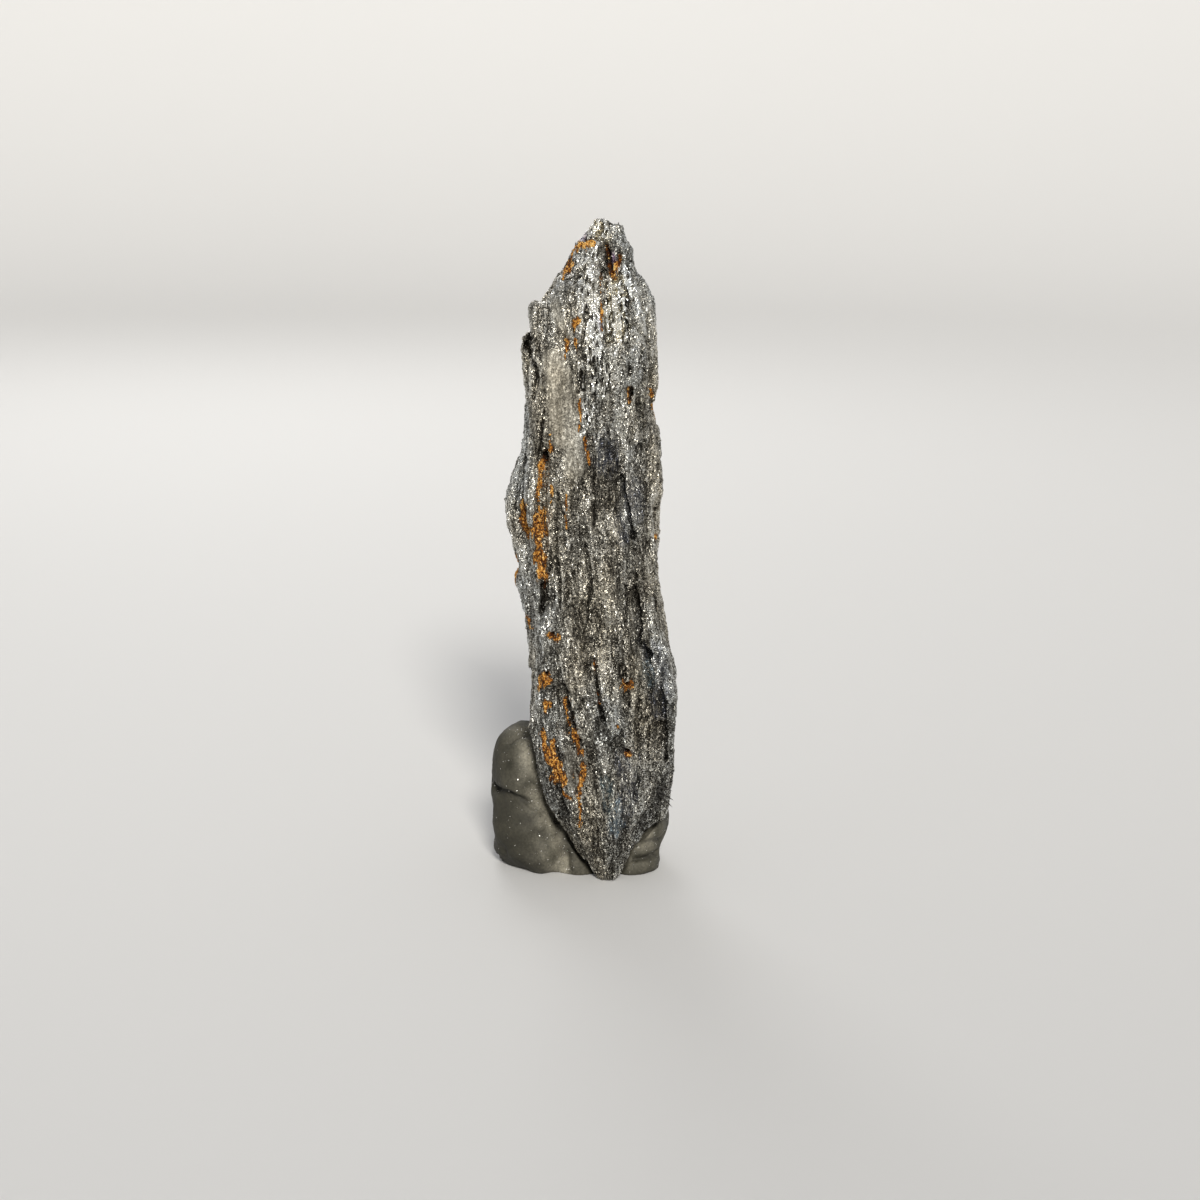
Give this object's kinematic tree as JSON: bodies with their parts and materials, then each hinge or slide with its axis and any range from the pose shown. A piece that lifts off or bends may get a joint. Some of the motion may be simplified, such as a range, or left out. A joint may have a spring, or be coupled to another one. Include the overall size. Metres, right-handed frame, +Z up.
{
  "type": "hematite crystal specimen on a putty stand",
  "caption": "Tall foliated iron-oxide mineral splinter standing upright in a pressed lump of display putty.",
  "frame": {"origin": "middle of the object's footprint, on the surface that the putty stands on", "axes": "+Z up, along the splinter; the broad face with the rusty patches faces -Y; +X is to the right of that face"},
  "size_m": [0.0284, 0.0254, 0.1003],
  "materials": {
    "hematite": "foliated metallic grey with a fine micaceous sparkle, rusty orange patches and faint purple and blue tarnish",
    "display_putty": "matt grey-green modelling putty with soft creases and a few stuck flakes"
  },
  "bodies": {
    "root": {"hematite_splinter": "hematite", "putty_lump": "display_putty"}
  },
  "joints": []
}
